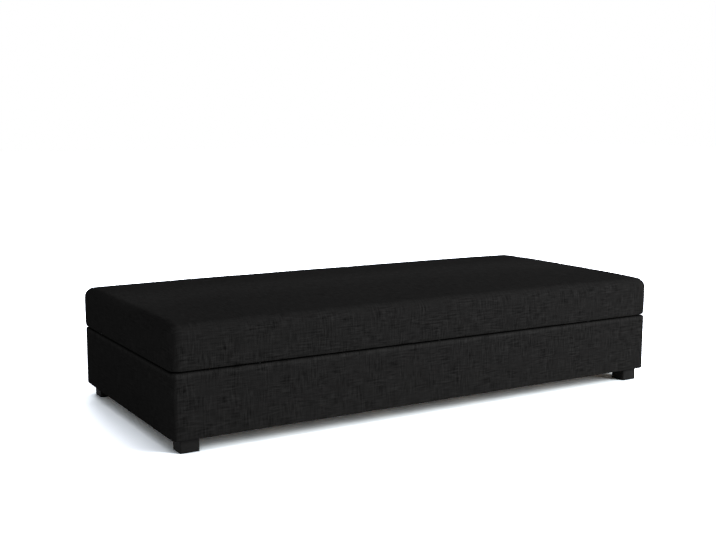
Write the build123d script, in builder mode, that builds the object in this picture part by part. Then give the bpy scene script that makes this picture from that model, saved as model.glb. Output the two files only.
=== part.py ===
from build123d import *
import os
from math import asin, cos, hypot, pi, radians, sin, sqrt

os.makedirs("parts", exist_ok=True)

# A single sprung bed on four block feet. The lower part is an upholstered storage box, and the
# upper part is a sprung, upholstered top section, hinged along the rear long edge.
# The origin is on the floor under the middle of the bed, X runs along it and Z is up.

# Overall form
bed_length = 2000.0
bed_width = 900.0
foot_height = 45.0
box_height = 214.0
seam_gap = 6.0
top_height = 143.0
crown_rise = 6.0
overhang = 2.0

# Upholstery
cover_thickness = 5.0
turn_in_thickness = 2.0
box_corner_radius = 20.0
top_corner_radius = 34.0
top_edge_radius = 30.0

# Timber of the box
board_thickness = 18.0
post_size = 25.0
post_headroom = 15.0
foot_block_size = 90.0
batten_height = 20.0
ledger_width = 20.0
bearer_width = 40.0
bearer_count = 4
floor_panel_thickness = 5.0
panel_clearance = 0.5

# Feet
foot_size = 65.0
foot_end_inset = 30.0
foot_side_inset = 20.0
foot_corner_radius = 4.0
foot_chamfer = 1.5
stud_radius = 4.0
stud_depth_in_foot = 25.0
nut_barrel_radius = 5.0
nut_barrel_length = 14.0
nut_flange_radius = 10.0
nut_flange_thickness = 1.5
nut_cover = 1.0

# Screws
frame_screw_radius = 2.0
frame_screw_head_radius = 4.0
frame_screw_bite = 20.0
corner_screw_edge = 5.0
corner_screw_recess = 9.0
leaf_screw_radius = 1.75
leaf_screw_head_radius = 3.2
leaf_screw_length = 25.0
bracket_screw_length = 15.0

# Pads in the gap
buffer_radius = 7.0
buffer_spacing = 0.35 * bed_length

# Hinges
hinge_count = 3
hinge_spacing = 0.375 * bed_length
hinge_length = 100.0
hinge_leaf_width = 22.0
hinge_leaf_thickness = 1.5
hinge_knuckle_count = 5
hinge_screw_spacing = 35.0

# Gas struts
open_angle = 50.0
strut_closed_angle = 63.0
strut_pin_drop = 12.0
strut_pin_rise = 20.0
strut_inset = 18.0
strut_pin_radius = 4.0
strut_pin_overhang = 3.0
eye_radius = 9.0
eye_width = 12.0
neck_radius = 5.0
cylinder_radius = 11.0
cylinder_wall = 1.5
rod_radius = 4.5
rod_show = 9.0
gland_length = 10.0
piston_length = 10.0
piston_gap = 2.0
bracket_thickness = 2.5
bracket_inset = 2.5
bracket_half_width = 18.0
bracket_screw_offset = 12.0

# Timber of the top section
rail_height = 45.0
slat_width = 90.0
slat_thickness = 16.0

# Spring unit
coils_along = 8
coils_across = 4
coil_end_radius = 42.0
coil_waist_radius = 30.0
coil_wire_radius = 1.75
coil_turns = 3
grid_wire_radius = 1.6
border_wire_radius = 2.5
border_corner_radius = 40.0
felt_thickness = 3.0
felt_depth_from_crown = 35.0
edge_foam_width = 50.0

# Clearances and the overrun of cuts
fit_clearance = 0.1
soft_clearance = 0.3
overrun = 10.0

# Levels, from the floor up
box_bottom_z = foot_height
board_bottom_z = box_bottom_z + turn_in_thickness
batten_top_z = board_bottom_z + batten_height
floor_top_z = batten_top_z + floor_panel_thickness
box_top_z = box_bottom_z + box_height
board_top_z = box_top_z - turn_in_thickness
top_bottom_z = box_top_z + seam_gap
rail_bottom_z = top_bottom_z + turn_in_thickness
slat_top_z = rail_bottom_z + slat_thickness
rail_top_z = rail_bottom_z + rail_height
crown_z = top_bottom_z + top_height + crown_rise
felt_top_z = crown_z - felt_depth_from_crown
felt_bottom_z = felt_top_z - felt_thickness
long_wire_z = felt_bottom_z - fit_clearance - grid_wire_radius
cross_wire_z = long_wire_z - 2 * grid_wire_radius - fit_clearance

# Outlines, as half sizes along X and Y
box_half_x = bed_length / 2 - overhang
box_half_y = bed_width / 2 - overhang
board_outer_x = box_half_x - cover_thickness
board_outer_y = box_half_y - cover_thickness
board_inner_x = board_outer_x - board_thickness
board_inner_y = board_outer_y - board_thickness
rail_outer_x = bed_length / 2 - cover_thickness
rail_outer_y = bed_width / 2 - cover_thickness
rail_inner_x = rail_outer_x - board_thickness
rail_inner_y = rail_outer_y - board_thickness
spring_half_x = rail_outer_x - edge_foam_width
spring_half_y = rail_outer_y - edge_foam_width
coil_pitch_along = 2 * spring_half_x / coils_along
coil_pitch_across = 2 * spring_half_y / coils_across
foot_x = bed_length / 2 - foot_end_inset - foot_size / 2
foot_y = bed_width / 2 - foot_side_inset - foot_size / 2

# Hinge line, in the middle of the gap at the rear face
knuckle_radius = seam_gap / 2
pin_radius = knuckle_radius - hinge_leaf_thickness - fit_clearance
hinge_y = bed_width / 2 - knuckle_radius
hinge_z = box_top_z + knuckle_radius

UP, DOWN = (0, 0, 1), (0, 0, -1)
REAR, RIGHT = (0, 1, 0), (1, 0, 0)
FROM_BELOW = (Align.CENTER, Align.CENTER, Align.MIN)
FROM_TOP = (Align.CENTER, Align.CENTER, Align.MAX)
CORNERS = [(-1, -1), (1, -1), (-1, 1), (1, 1)]
SIDES = {"left": -1, "right": 1}


def save(piece, label):
    """Labels a finished piece and writes it to its own file."""
    piece.part.label = label
    export_step(piece.part, f"parts/{label}.step")


def facing(x, y, z, direction):
    """A place at a point, whose own Z axis looks along direction."""
    return Plane(origin=(x, y, z), z_dir=direction).location


def slab(low, high):
    """A plain block between two opposite corners."""
    size = [b - a for a, b in zip(low, high)]
    middle = [(a + b) / 2 for a, b in zip(low, high)]
    with BuildPart() as block:
        with Locations(tuple(middle)):
            Box(*size)
    return block.part


def wood_screw(length, shank_radius, head_radius, growth=0.0, mouth=0.0):
    """A countersunk screw down from the origin. With a growth it is the hole for that screw,
    and with a mouth the hole goes on above the head."""
    shank, head = shank_radius + growth, head_radius + growth
    cone_z = shank_radius - head_radius
    tip_z = -length - growth
    with BuildPart() as screw:
        with BuildSketch(Plane.XZ):
            with BuildLine():
                Polyline(
                    *([(0, mouth), (head, mouth)] if mouth else [(0, growth)]),
                    (head, growth), (shank, cone_z + growth),
                    (shank, tip_z + shank_radius), (0, tip_z),
                    close=True,
                )
            make_face()
        revolve(axis=Axis.Z)
    return screw.part


def cut_holes(hole, places):
    """Cuts a hole's form out of the piece that is being built, at each place."""
    with Locations(*places):
        add(hole, mode=Mode.SUBTRACT)


def box_core():
    """The space inside the cover of the box, which cuts the boards' outer corners round."""
    with BuildPart() as core:
        with BuildSketch(Plane.XY.offset(board_bottom_z)):
            RectangleRounded(2 * board_outer_x, 2 * board_outer_y, box_corner_radius - cover_thickness)
        extrude(amount=board_top_z - board_bottom_z)
    return core.part


def top_form(inset):
    """The outer form of the top section, drawn in by inset: crowned, with rounded edges."""
    crown_radius = ((bed_width / 2) ** 2 + crown_rise**2) / (2 * crown_rise)
    reach = bed_width / 2 + overrun
    middle_z = crown_z - inset
    shoulder_z = crown_z - crown_radius + sqrt((crown_radius - inset) ** 2 - reach**2)
    base_z = top_bottom_z - overrun
    with BuildPart() as form:
        with BuildSketch(Plane.XY.offset(top_bottom_z)):
            RectangleRounded(bed_length - 2 * inset, bed_width - 2 * inset, top_corner_radius - inset)
        extrude(amount=top_height + crown_rise)
        with BuildSketch(Plane.YZ):
            with BuildLine():
                ThreePointArc((-reach, shoulder_z), (0, middle_z), (reach, shoulder_z))
                Polyline((reach, shoulder_z), (reach, base_z), (-reach, base_z), (-reach, shoulder_z))
            make_face()
        extrude(amount=bed_length, both=True, mode=Mode.INTERSECT)
        rim = form.faces().sort_by(Axis.Z)[-1].edges()
        fillet(rim, top_edge_radius - inset)
    return form.part


outer_form = top_form(0)
inner_form = top_form(cover_thickness)
foam_form = top_form(cover_thickness + soft_clearance)

# The screws, and the holes that take them

frame_screw_length = board_thickness + frame_screw_bite
frame_screw = wood_screw(frame_screw_length, frame_screw_radius, frame_screw_head_radius)
frame_hole = wood_screw(
    frame_screw_length, frame_screw_radius, frame_screw_head_radius, fit_clearance, overrun
)
leaf_screw = wood_screw(leaf_screw_length, leaf_screw_radius, leaf_screw_head_radius)
leaf_hole = wood_screw(
    leaf_screw_length, leaf_screw_radius, leaf_screw_head_radius, fit_clearance
)
bracket_screw = wood_screw(bracket_screw_length, leaf_screw_radius, leaf_screw_head_radius)
bracket_hole = wood_screw(
    bracket_screw_length, leaf_screw_radius, leaf_screw_head_radius, fit_clearance
)

post_bottom_z = floor_top_z
post_top_z = board_top_z - post_headroom
post_x = board_inner_x - post_size / 2
post_y = board_inner_y - post_size / 2
post_height = post_top_z - post_bottom_z
long_board_screw_shares = (0.25, 0.85)
end_board_screw_shares = (0.4, 0.7)
long_board_places = {
    side: [
        facing(end * post_x, side * board_outer_y, post_bottom_z + share * post_height, (0, side, 0))
        for end in (-1, 1)
        for share in long_board_screw_shares
    ]
    for side in (-1, 1)
}
end_board_places = {
    end: [
        facing(end * board_outer_x, side * post_y, post_bottom_z + share * post_height, (end, 0, 0))
        for side in (-1, 1)
        for share in end_board_screw_shares
    ]
    for end in (-1, 1)
}

slat_xs = [coil_pitch_along * (i - (coils_along - 1) / 2) for i in range(coils_along)]
coil_ys = [coil_pitch_across * (i - (coils_across - 1) / 2) for i in range(coils_across)]
end_rail_x = (rail_outer_x + rail_inner_x) / 2
rail_joint_shares = (0.3, 0.75)
long_rail_places = {
    side: [
        facing(
            end * (rail_inner_x + corner_screw_edge), side * (rail_outer_y - corner_screw_recess),
            rail_bottom_z + share * rail_height, (0, side, 0),
        )
        for end in (-1, 1)
        for share in rail_joint_shares
    ]
    + [
        facing(x, side * rail_outer_y, rail_bottom_z + slat_thickness / 2, (0, side, 0))
        for x in slat_xs
    ]
    for side in (-1, 1)
}

hinge_xs = [hinge_spacing * (i - (hinge_count - 1) / 2) for i in range(hinge_count)]
hinge_screw_y = (board_outer_y + rail_inner_y) / 2
hinge_screw_xs = [x + step * hinge_screw_spacing for x in hinge_xs for step in (-1, 0, 1)]
hinge_base_places = [
    facing(x, hinge_screw_y, box_top_z + hinge_leaf_thickness, UP) for x in hinge_screw_xs
]
hinge_lid_places = [
    facing(x, hinge_screw_y, top_bottom_z - hinge_leaf_thickness, DOWN) for x in hinge_screw_xs
]

# Gas strut geometry, seen along X. Both pins lie on one circle about the hinge line, so strut and
# lid turn in the constant ratio of one to two. The circle is as large as brings the base pin to
# its height above the box's floor.

closed_turn = radians(strut_closed_angle)
strut_depth = hinge_z - floor_top_z - strut_pin_rise
strut_arm = hypot(strut_pin_drop, (strut_depth - strut_pin_drop * cos(closed_turn)) / sin(closed_turn))
lid_pin_angle = asin(strut_pin_drop / strut_arm)
base_pin_angle = lid_pin_angle + closed_turn
lid_pin_y = hinge_y - strut_arm * cos(lid_pin_angle)
lid_pin_z = hinge_z - strut_arm * sin(lid_pin_angle)
base_pin_y = hinge_y - strut_arm * cos(base_pin_angle)
base_pin_z = hinge_z - strut_arm * sin(base_pin_angle)
closed_length = 2 * strut_arm * sin(closed_turn / 2)
open_length = 2 * strut_arm * sin(radians(strut_closed_angle + open_angle) / 2)
stroke = open_length - closed_length
neck_length = eye_radius + rod_radius
cylinder_start = neck_length
cylinder_end = closed_length - neck_length - rod_show
piston_start = cylinder_end - gland_length - stroke - piston_length - piston_gap
strut_x = board_inner_x - strut_inset
pin_tip_x = strut_x - eye_width / 2 - strut_pin_overhang
lid_bracket_x = board_inner_x - bracket_inset
print(f"hinge line y {hinge_y:.2f} z {hinge_z:.2f}")
print(f"base pin y {base_pin_y:.3f} z {base_pin_z:.3f}, lid pin y {lid_pin_y:.3f} z {lid_pin_z:.3f}")
print(f"strut closed {closed_length:.1f} open {open_length:.1f} stroke {stroke:.1f}")
print(f"piston starts {piston_start - cylinder_start:.1f} above the cylinder's foot")

bracket_offsets = [
    (i * bracket_screw_offset, j * bracket_screw_offset) for i in (-1, 1) for j in (-1, 1)
]
strut_base_places = {
    end: [
        facing(
            end * (board_inner_x - bracket_thickness), base_pin_y + dy, base_pin_z + dz, (-end, 0, 0)
        )
        for dy, dz in bracket_offsets
    ]
    for end in (-1, 1)
}
strut_lid_places = {
    end: [
        facing(
            end * end_rail_x, lid_pin_y + step * bracket_screw_offset,
            top_bottom_z - bracket_thickness, DOWN,
        )
        for step in (-1, 1)
    ]
    for end in (-1, 1)
}

# Boards of the storage box

core = box_core()

for name, side in (("base_front_board", -1), ("base_rear_board", 1)):
    near, far = sorted((side * board_inner_y, side * board_outer_y))
    with BuildPart() as board:
        add(slab((-board_outer_x, near, board_bottom_z), (board_outer_x, far, board_top_z)))
        add(core, mode=Mode.INTERSECT)
        cut_holes(frame_hole, long_board_places[side])
        if side > 0:
            cut_holes(leaf_hole, hinge_base_places)
    save(board, name)

for name, end in (("base_left_board", -1), ("base_right_board", 1)):
    near, far = sorted((end * board_inner_x, end * board_outer_x))
    with BuildPart() as board:
        add(slab((near, -board_inner_y, board_bottom_z), (far, board_inner_y, board_top_z)))
        cut_holes(frame_hole, end_board_places[end])
        cut_holes(bracket_hole, strut_base_places[end])
    save(board, name)

with BuildPart() as corner_posts:
    with Locations(*[(i * post_x, j * post_y, post_bottom_z) for i, j in CORNERS]):
        Box(post_size, post_size, post_height, align=FROM_BELOW)
    for places in (*long_board_places.values(), *end_board_places.values()):
        cut_holes(frame_hole, places)
save(corner_posts, "corner_posts")

with BuildPart() as frame_screws:
    for places in (*long_board_places.values(), *end_board_places.values()):
        with Locations(*places):
            add(frame_screw)
save(frame_screws, "frame_screws")

# Floor of the storage box, and the blocks that carry the feet

block_x = board_inner_x - foot_block_size / 2
block_y = board_inner_y - foot_block_size / 2
foot_places = [(i * foot_x, j * foot_y) for i, j in CORNERS]

with BuildPart() as foot_blocks:
    with Locations(*[(i * block_x, j * block_y, box_bottom_z) for i, j in CORNERS]):
        Box(foot_block_size, foot_block_size, batten_top_z - box_bottom_z, align=FROM_BELOW)
    with Locations(*[(x, y, batten_top_z) for x, y in foot_places]):
        Cylinder(
            stud_radius + fit_clearance, batten_top_z - box_bottom_z, align=FROM_TOP, mode=Mode.SUBTRACT
        )
        Cylinder(
            nut_barrel_radius + fit_clearance, nut_flange_thickness + nut_barrel_length,
            align=FROM_TOP, mode=Mode.SUBTRACT,
        )
        Cylinder(
            nut_flange_radius + fit_clearance, nut_flange_thickness, align=FROM_TOP, mode=Mode.SUBTRACT
        )
save(foot_blocks, "foot_blocks")

with BuildPart() as foot_tee_nuts:
    with Locations(*[(x, y, batten_top_z) for x, y in foot_places]):
        Cylinder(nut_flange_radius, nut_flange_thickness, align=FROM_TOP)
        Cylinder(nut_barrel_radius, nut_flange_thickness + nut_barrel_length, align=FROM_TOP)
        Cylinder(
            stud_radius + fit_clearance, nut_flange_thickness + nut_barrel_length,
            align=FROM_TOP, mode=Mode.SUBTRACT,
        )
save(foot_tee_nuts, "foot_tee_nuts")

ledger_end_x = board_inner_x - foot_block_size
ledger_end_y = board_inner_y - foot_block_size
ledger_inner_x = board_inner_x - ledger_width
ledger_inner_y = board_inner_y - ledger_width

with BuildPart() as floor_ledgers:
    for side in (-1, 1):
        low, high = sorted((side * ledger_inner_y, side * board_inner_y))
        add(slab((-ledger_end_x, low, board_bottom_z), (ledger_end_x, high, batten_top_z)))
        low, high = sorted((side * ledger_inner_x, side * board_inner_x))
        add(slab((low, -ledger_end_y, board_bottom_z), (high, ledger_end_y, batten_top_z)))
save(floor_ledgers, "floor_ledgers")

bearer_pitch = 2 * board_inner_x / (bearer_count + 1)
with BuildPart() as floor_bearers:
    with Locations(Location((0, 0, board_bottom_z))):
        with GridLocations(bearer_pitch, bearer_pitch, bearer_count, 1):
            Box(bearer_width, 2 * ledger_inner_y, batten_height, align=FROM_BELOW)
save(floor_bearers, "floor_bearers")

with BuildPart() as floor_panel:
    panel_x = board_inner_x - panel_clearance
    panel_y = board_inner_y - panel_clearance
    add(slab((-panel_x, -panel_y, batten_top_z), (panel_x, panel_y, floor_top_z)))
save(floor_panel, "floor_panel")

# Feet, each with a stud moulded in that screws into the block above

foot_names = ["foot_front_left", "foot_front_right", "foot_rear_left", "foot_rear_right"]
for name, (x, y) in zip(foot_names, foot_places):
    with BuildPart() as foot:
        with BuildSketch():
            with Locations((x, y)):
                RectangleRounded(foot_size, foot_size, foot_corner_radius)
        extrude(amount=foot_height)
        chamfer(foot.faces().sort_by(Axis.Z)[0].edges(), foot_chamfer)
        with Locations((x, y, foot_height)):
            Cylinder(
                stud_radius + fit_clearance, stud_depth_in_foot + fit_clearance,
                align=FROM_TOP, mode=Mode.SUBTRACT,
            )
    save(foot, name)

with BuildPart() as foot_studs:
    stud_length = stud_depth_in_foot + batten_top_z - nut_cover - foot_height
    with Locations(*[(x, y, foot_height - stud_depth_in_foot) for x, y in foot_places]):
        Cylinder(stud_radius, stud_length, align=FROM_BELOW)
save(foot_studs, "foot_studs")

# Cover of the box: a skin round the boards, turned in over and under their edges

with BuildPart() as base_cover:
    with BuildSketch(Plane.XY.offset(box_bottom_z)):
        RectangleRounded(2 * box_half_x, 2 * box_half_y, box_corner_radius)
        Rectangle(2 * board_inner_x, 2 * board_inner_y, mode=Mode.SUBTRACT)
    extrude(amount=box_height)
    add(core, mode=Mode.SUBTRACT)
    cut_holes(leaf_hole, hinge_base_places)
save(base_cover, "base_cover")

# Rubber pads on the edge of the box, which carry the closed top section

buffer_y = (board_outer_y + board_inner_y) / 2
buffer_x = (board_outer_x + board_inner_x) / 2
buffer_places = [(step * buffer_spacing, -buffer_y, box_top_z) for step in (-1, 0, 1)]
buffer_places += [(end * buffer_x, 0, box_top_z) for end in (-1, 1)]
with BuildPart() as lid_buffers:
    with Locations(*buffer_places):
        Cylinder(buffer_radius, seam_gap - soft_clearance, align=FROM_BELOW)
save(lid_buffers, "lid_buffers")

# Butt hinges: two leaves that lie in the gap, and a pin in their interleaved knuckles

knuckle_pitch = hinge_length / hinge_knuckle_count
knuckle_length = knuckle_pitch - 2 * fit_clearance
leaf_front_y = hinge_y - hinge_leaf_width
leaf_rear_y = hinge_y - knuckle_radius - soft_clearance


def hinge_leaf(x, first_knuckle, leaf_z, screw_places):
    """One leaf at x. Its knuckles take every second place from the first one given."""
    middles = [
        x + knuckle_pitch * (i - (hinge_knuckle_count - 1) / 2)
        for i in range(first_knuckle, hinge_knuckle_count, 2)
    ]
    with BuildPart() as leaf:
        add(
            slab(
                (x - hinge_length / 2, leaf_front_y, leaf_z),
                (x + hinge_length / 2, leaf_rear_y, leaf_z + hinge_leaf_thickness),
            )
        )
        for middle in middles:
            add(
                slab(
                    (middle - knuckle_length / 2, leaf_front_y, leaf_z),
                    (middle + knuckle_length / 2, hinge_y, leaf_z + hinge_leaf_thickness),
                )
            )
        with Locations(*[facing(middle, hinge_y, hinge_z, RIGHT) for middle in middles]):
            Cylinder(knuckle_radius, knuckle_length)
            Cylinder(pin_radius + fit_clearance / 2, knuckle_length, mode=Mode.SUBTRACT)
        cut_holes(leaf_hole, screw_places)
    return leaf


for name, x in zip(("left", "centre", "right"), hinge_xs):
    base_places = [p for p in hinge_base_places if abs(p.position.X - x) < hinge_length / 2]
    lid_places = [p for p in hinge_lid_places if abs(p.position.X - x) < hinge_length / 2]
    save(hinge_leaf(x, 0, box_top_z, base_places), f"hinge_base_leaf_{name}")
    lid_leaf_z = top_bottom_z - hinge_leaf_thickness
    save(hinge_leaf(x, 1, lid_leaf_z, lid_places), f"hinge_lid_leaf_{name}")

with BuildPart() as hinge_pins:
    with Locations(*[facing(x, hinge_y, hinge_z, RIGHT) for x in hinge_xs]):
        Cylinder(pin_radius, hinge_length)
save(hinge_pins, "hinge_pins")

with BuildPart() as hinge_base_screws:
    with Locations(*hinge_base_places):
        add(leaf_screw)
save(hinge_base_screws, "hinge_base_screws")

with BuildPart() as hinge_lid_screws:
    with Locations(*hinge_lid_places):
        add(leaf_screw)
save(hinge_lid_screws, "hinge_lid_screws")

# Timber frame of the top section

for name, side in (("top_front_rail", -1), ("top_rear_rail", 1)):
    near, far = sorted((side * rail_inner_y, side * rail_outer_y))
    with BuildPart() as rail:
        add(slab((-rail_outer_x, near, rail_bottom_z), (rail_outer_x, far, rail_top_z)))
        add(inner_form, mode=Mode.INTERSECT)
        cut_holes(frame_hole, long_rail_places[side])
        if side > 0:
            cut_holes(leaf_hole, hinge_lid_places)
    save(rail, name)

for name, end in (("top_left_rail", -1), ("top_right_rail", 1)):
    near, far = sorted((end * rail_inner_x, end * rail_outer_x))
    with BuildPart() as rail:
        add(slab((near, -rail_inner_y, rail_bottom_z), (far, rail_inner_y, rail_top_z)))
        add(inner_form, mode=Mode.INTERSECT)
        for places in long_rail_places.values():
            cut_holes(frame_hole, places)
        cut_holes(bracket_hole, strut_lid_places[end])
    save(rail, name)

with BuildPart() as slats:
    with Locations(*[(x, 0, rail_bottom_z) for x in slat_xs]):
        Box(slat_width, 2 * rail_inner_y, slat_thickness, align=FROM_BELOW)
    for places in long_rail_places.values():
        cut_holes(frame_hole, places)
save(slats, "slats")

with BuildPart() as top_frame_screws:
    for places in long_rail_places.values():
        with Locations(*places):
            add(frame_screw)
save(top_frame_screws, "top_frame_screws")

with BuildPart() as underside_panel:
    panel_x = rail_inner_x - soft_clearance
    panel_y = rail_inner_y - soft_clearance
    add(slab((-panel_x, -panel_y, top_bottom_z), (panel_x, panel_y, rail_bottom_z)))
save(underside_panel, "underside_panel")

# Coil springs: waisted, each one tube swept along arcs of under half a turn

coil_bottom_z = slat_top_z + coil_wire_radius + fit_clearance
coil_top_z = cross_wire_z - grid_wire_radius - coil_wire_radius - fit_clearance


def coil_point(share):
    """A point of the coil's wire, at a share from 0 at the foot to 1 at the top."""
    turn = 2 * pi * coil_turns * share
    swell = (2 * share - 1) ** 2
    radius = coil_waist_radius + (coil_end_radius - coil_waist_radius) * swell
    rise = share * share * (3 - 2 * share)
    return Vector(
        radius * cos(turn), radius * sin(turn), coil_bottom_z + (coil_top_z - coil_bottom_z) * rise
    )


heading_step_share = 0.0002


def coil_heading(share):
    """The unit direction of the coil's wire at a share of its length."""
    low, high = max(share - heading_step_share, 0), min(share + heading_step_share, 1)
    return (coil_point(high) - coil_point(low)).normalized()


def biarc_joint(start, start_heading, end, end_heading):
    """The point where two arcs meet that leave start and reach end along the given headings."""
    chord = end - start
    along = chord.dot(start_heading + end_heading)
    turn = 2 * (1 - start_heading.dot(end_heading))
    reach = (sqrt(along * along + turn * chord.dot(chord)) - along) / turn
    return (start + end + (start_heading - end_heading) * reach) / 2


spans = round(2 * coil_turns)
with BuildPart() as coil:
    with BuildLine() as wire:
        for i in range(spans):
            start, end = coil_point(i / spans), coil_point((i + 1) / spans)
            heading, last_heading = coil_heading(i / spans), coil_heading((i + 1) / spans)
            joint = biarc_joint(start, heading, end, last_heading)
            first = TangentArc(start, joint, tangent=heading)
            TangentArc(joint, end, tangent=first % 1)
    with BuildSketch(Plane(origin=wire.line @ 0, z_dir=wire.line % 0)):
        Circle(coil_wire_radius)
    sweep(path=wire.line)

points_per_turn = 48
point_count = round(points_per_turn * coil_turns)
points = [coil_point(i / point_count) for i in range(point_count + 1)]
least_gap = min(
    (a - b).length for i, a in enumerate(points) for b in points[i + points_per_turn // 2 :]
) - 2 * coil_wire_radius
print(f"least gap between a coil's turns {least_gap:.2f}")

for name, side in (("front", -1), ("rear", 1)):
    coil_places = [Location((x, y, 0)) for x in slat_xs for y in coil_ys if side * y > 0]
    with BuildPart() as coil_springs:
        with Locations(*coil_places):
            add(coil.part)
    save(coil_springs, f"coil_springs_{name}")

# Wire grid on top of the coils

border_x = spring_half_x - border_wire_radius - soft_clearance
border_y = spring_half_y - border_wire_radius - soft_clearance
with BuildPart() as border_wire:
    with BuildLine(Plane.XY.offset(cross_wire_z)) as loop:
        FilletPolyline(
            *[(border_x * i, border_y * j) for i, j in ((-1, -1), (1, -1), (1, 1), (-1, 1))],
            radius=border_corner_radius,
            close=True,
        )
    with BuildSketch(Plane(origin=loop.line @ 0, z_dir=loop.line % 0)):
        Circle(border_wire_radius)
    sweep(path=loop.line)
save(border_wire, "border_wire")

cross_wire_length = 2 * (border_y - border_wire_radius - fit_clearance)
long_wire_length = 2 * (border_x - border_wire_radius - fit_clearance)
with BuildPart() as grid_wires:
    with Locations(*[facing(x, 0, cross_wire_z, REAR) for x in slat_xs]):
        Cylinder(grid_wire_radius, cross_wire_length)
    with Locations(*[facing(0, y, long_wire_z, RIGHT) for y in coil_ys]):
        Cylinder(grid_wire_radius, long_wire_length)
save(grid_wires, "grid_wires")

# Padding

with BuildPart() as spring_felt:
    felt_x = spring_half_x - soft_clearance
    felt_y = spring_half_y - soft_clearance
    add(slab((-felt_x, -felt_y, felt_bottom_z), (felt_x, felt_y, felt_top_z)))
save(spring_felt, "spring_felt")

with BuildPart() as edge_foam:
    for side in (-1, 1):
        low, high = sorted((side * spring_half_y, side * rail_outer_y))
        add(slab((-rail_outer_x, low, rail_top_z), (rail_outer_x, high, felt_top_z)))
        low, high = sorted((side * spring_half_x, side * rail_outer_x))
        end_y = spring_half_y - soft_clearance
        add(slab((low, -end_y, rail_top_z), (high, end_y, felt_top_z)))
    add(foam_form, mode=Mode.INTERSECT)
save(edge_foam, "edge_foam")

with BuildPart() as top_foam:
    add(foam_form)
    split(bisect_by=Plane.XY.offset(felt_top_z), keep=Keep.TOP)
save(top_foam, "top_foam")

# Cover of the top section: a skin over foam and rails, turned in under the rails

with BuildPart() as top_cover:
    add(outer_form)
    add(inner_form, mode=Mode.SUBTRACT)
    with BuildSketch(Plane.XY.offset(top_bottom_z)):
        RectangleRounded(2 * rail_outer_x, 2 * rail_outer_y, top_corner_radius - cover_thickness)
        Rectangle(2 * rail_inner_x, 2 * rail_inner_y, mode=Mode.SUBTRACT)
    extrude(amount=turn_in_thickness)
    cut_holes(leaf_hole, hinge_lid_places)
    for places in strut_lid_places.values():
        cut_holes(bracket_hole, places)
save(top_cover, "top_cover")

# Gas struts and their brackets

strut_direction = (0, lid_pin_y - base_pin_y, lid_pin_z - base_pin_z)


def pin_at(end, start_x, y, z):
    """Adds a bracket's pin, which points into the box from start_x, to the piece being built."""
    with Locations(facing(end * start_x, y, z, (-end, 0, 0))):
        Cylinder(strut_pin_radius, start_x - pin_tip_x, align=FROM_BELOW)


def eye_at(plane, height):
    """Adds an eye with its bore, at a height on the strut's axis, to the piece being built."""
    with Locations(plane.location * Location((0, 0, height), (0, 90, 0))):
        Cylinder(eye_radius, eye_width)


def eye_bore_at(plane, height):
    """Cuts the bore of an eye at a height on the strut's axis."""
    with Locations(plane.location * Location((0, 0, height), (0, 90, 0))):
        Cylinder(strut_pin_radius + fit_clearance, eye_width + overrun, mode=Mode.SUBTRACT)


def rod_between(plane, radius, start, stop, mode=Mode.ADD):
    """Adds or cuts a round bar on the strut's axis, between two heights."""
    with Locations(plane.location * Location((0, 0, start))):
        Cylinder(radius, stop - start, align=FROM_BELOW, mode=mode)


for name, end in SIDES.items():
    along = Plane(origin=(end * strut_x, base_pin_y, base_pin_z), x_dir=RIGHT, z_dir=strut_direction)
    bore_radius = cylinder_radius - cylinder_wall

    with BuildPart() as base_bracket:
        low, high = sorted((end * board_inner_x, end * (board_inner_x - bracket_thickness)))
        add(
            slab(
                (low, base_pin_y - bracket_half_width, base_pin_z - bracket_half_width),
                (high, base_pin_y + bracket_half_width, base_pin_z + bracket_half_width),
            )
        )
        pin_at(end, board_inner_x - bracket_thickness, base_pin_y, base_pin_z)
        cut_holes(bracket_hole, strut_base_places[end])
    save(base_bracket, f"strut_base_bracket_{name}")

    with BuildPart() as lid_bracket:
        flange_x = lid_bracket_x - bracket_thickness
        low, high = sorted((end * flange_x, end * rail_outer_x))
        add(
            slab(
                (low, lid_pin_y - bracket_half_width, top_bottom_z - bracket_thickness),
                (high, lid_pin_y + bracket_half_width, top_bottom_z),
            )
        )
        low, high = sorted((end * flange_x, end * lid_bracket_x))
        add(
            slab(
                (low, lid_pin_y - bracket_half_width, lid_pin_z - bracket_screw_offset),
                (high, lid_pin_y + bracket_half_width, top_bottom_z),
            )
        )
        pin_at(end, flange_x, lid_pin_y, lid_pin_z)
        cut_holes(bracket_hole, strut_lid_places[end])
    save(lid_bracket, f"strut_lid_bracket_{name}")

    with BuildPart() as lower_eye:
        eye_at(along, 0)
        rod_between(along, neck_radius, 0, cylinder_start)
        eye_bore_at(along, 0)
    save(lower_eye, f"strut_lower_eye_{name}")

    with BuildPart() as cylinder:
        rod_between(along, cylinder_radius, cylinder_start, cylinder_end)
        rod_between(along, bore_radius, cylinder_start + cylinder_wall, cylinder_end, Mode.SUBTRACT)
    save(cylinder, f"strut_cylinder_{name}")

    with BuildPart() as gland:
        rod_between(along, bore_radius, cylinder_end - gland_length, cylinder_end)
        rod_between(
            along, rod_radius + fit_clearance, cylinder_end - gland_length, cylinder_end, Mode.SUBTRACT
        )
    save(gland, f"strut_gland_{name}")

    with BuildPart() as piston:
        rod_between(along, bore_radius - fit_clearance, piston_start, piston_start + piston_length)
    save(piston, f"strut_piston_{name}")

    with BuildPart() as rod:
        rod_between(along, rod_radius, piston_start + piston_length, closed_length - neck_length)
    save(rod, f"strut_rod_{name}")

    with BuildPart() as upper_eye:
        eye_at(along, closed_length)
        rod_between(along, neck_radius, closed_length - neck_length, closed_length)
        eye_bore_at(along, closed_length)
    save(upper_eye, f"strut_upper_eye_{name}")

with BuildPart() as strut_base_screws:
    for places in strut_base_places.values():
        with Locations(*places):
            add(bracket_screw)
save(strut_base_screws, "strut_base_screws")

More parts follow.
